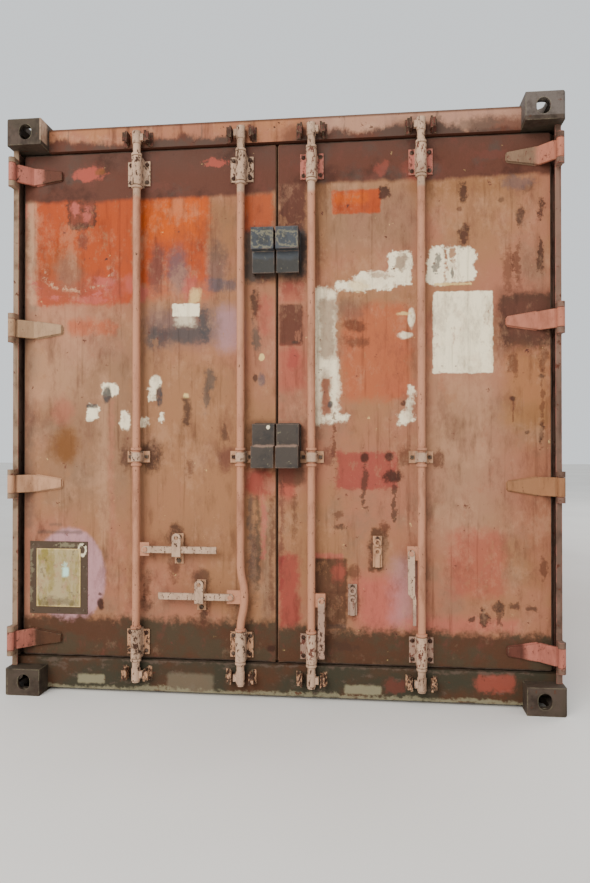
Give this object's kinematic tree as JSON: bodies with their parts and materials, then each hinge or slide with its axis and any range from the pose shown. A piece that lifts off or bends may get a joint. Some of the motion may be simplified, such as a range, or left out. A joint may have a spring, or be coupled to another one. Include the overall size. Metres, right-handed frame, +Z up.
{
  "type": "shipping container",
  "caption": "Steel freight box with swinging rear doors held by lock rods and drop handles, corrugated walls and roof, corner castings and fork pockets.",
  "frame": {"origin": "centre of the footprint, on the plane of the corner castings' undersides", "axes": "-Y is the door end, +Y the closed end, +X to the right as seen from the doors, +Z up"},
  "size_m": [2.438, 6.058, 2.591],
  "materials": {
    "casting_steel": "old paint over cast steel, rusty and chalky",
    "post_paint": "dull grey-brown, worn",
    "header_paint": "faded tan, chalky",
    "sill_paint": "dull olive-brown, dirty, worn lower lip",
    "body_paint": "faded red-brown, matt",
    "base_paint": "dark, dirty underseal",
    "roof_paint": "faded red-brown, dusty",
    "door_paint": "faded tan-pink with patches and rust",
    "hardware_paint": "chipped pale paint over rust",
    "rod_paint": "pale pink-tan, chipped",
    "lock_box_paint": "dull blue-grey",
    "plate_brass": "dull, bare plate",
    "seal_rubber": "matt",
    "floor_wood": "worn plywood",
    "vent_plastic": "matt"
  },
  "bodies": {
    "container": {"rear_top_castings": "casting_steel", "rear_bottom_castings": "casting_steel", "front_top_castings": "casting_steel", "front_bottom_castings": "casting_steel", "rear_posts": "post_paint", "front_posts": "body_paint", "rear_header": "header_paint", "rear_sill": "sill_paint", "front_header": "body_paint", "front_sill": "body_paint", "top_side_rails": "body_paint", "bottom_side_rails": "base_paint", "left_wall": "body_paint", "right_wall": "body_paint", "front_wall": "body_paint", "roof": "roof_paint", "cross_members": "base_paint", "fork_pockets": "base_paint", "floor_boards": "floor_wood", "side_vents": "vent_plastic", "left_hinge_lugs": "post_paint", "right_hinge_lugs": "post_paint", "upper_keepers": "hardware_paint", "lower_keepers": "hardware_paint"},
    "left_door": {"left_door_frame": "door_paint", "left_door_sheet": "door_paint", "left_seal": "seal_rubber", "left_hinge_blades": "hardware_paint", "left_rod_brackets": "hardware_paint", "left_retainers": "hardware_paint", "left_lock_boxes": "lock_box_paint", "data_plate": "plate_brass"},
    "right_door": {"right_door_frame": "door_paint", "right_door_sheet": "door_paint", "right_seal": "seal_rubber", "right_hinge_blades": "hardware_paint", "right_rod_brackets": "hardware_paint", "right_retainers": "hardware_paint", "right_lock_boxes": "lock_box_paint"},
    "left_outer_rod": {"left_outer_rod": "rod_paint"},
    "left_inner_rod": {"left_inner_rod": "rod_paint"},
    "right_inner_rod": {"right_inner_rod": "rod_paint"},
    "right_outer_rod": {"right_outer_rod": "rod_paint"},
    "left_outer_handle": {"left_outer_handle": "rod_paint"},
    "left_inner_handle": {"left_inner_handle": "rod_paint"},
    "right_inner_handle": {"right_inner_handle": "rod_paint"},
    "right_outer_handle": {"right_outer_handle": "rod_paint"}
  },
  "joints": [
    {"name": "left_door_swing", "type": "hinge", "parent": "container", "child": "left_door", "pos_m": [-1.202, -3.009, 1.2955], "axis": [0, 0, -1], "range_deg": [0, 265]},
    {"name": "right_door_swing", "type": "hinge", "parent": "container", "child": "right_door", "pos_m": [1.202, -3.009, 1.2955], "axis": [0, 0, 1], "range_deg": [0, 265]},
    {"name": "left_outer_rod_turn", "type": "hinge", "parent": "left_door", "child": "left_outer_rod", "pos_m": [-0.632, -2.97, 1.2955], "axis": [0, 0, 1], "range_deg": [-90, 0]},
    {"name": "left_inner_rod_turn", "type": "hinge", "parent": "left_door", "child": "left_inner_rod", "pos_m": [-0.157, -2.97, 1.2955], "axis": [0, 0, -1], "range_deg": [-90, 0]},
    {"name": "right_inner_rod_turn", "type": "hinge", "parent": "right_door", "child": "right_inner_rod", "pos_m": [0.157, -2.97, 1.2955], "axis": [0, 0, 1], "range_deg": [-90, 0]},
    {"name": "right_outer_rod_turn", "type": "hinge", "parent": "right_door", "child": "right_outer_rod", "pos_m": [0.632, -2.97, 1.2955], "axis": [0, 0, -1], "range_deg": [-90, 0]},
    {"name": "left_outer_handle_lift", "type": "hinge", "parent": "left_outer_rod", "child": "left_outer_handle", "pos_m": [-0.588, -2.9785, 0.655], "axis": [0, -1, 0], "range_deg": [0, 20]},
    {"name": "left_inner_handle_lift", "type": "hinge", "parent": "left_inner_rod", "child": "left_inner_handle", "pos_m": [-0.201, -2.9785, 0.449], "axis": [0, 1, 0], "range_deg": [0, 20]},
    {"name": "right_inner_handle_lift", "type": "hinge", "parent": "right_inner_rod", "child": "right_inner_handle", "pos_m": [0.201, -2.9785, 0.443], "axis": [0, -1, 0], "range_deg": [0, 90]},
    {"name": "right_outer_handle_lift", "type": "hinge", "parent": "right_outer_rod", "child": "right_outer_handle", "pos_m": [0.588, -2.9785, 0.655], "axis": [0, 1, 0], "range_deg": [0, 90]}
  ]
}
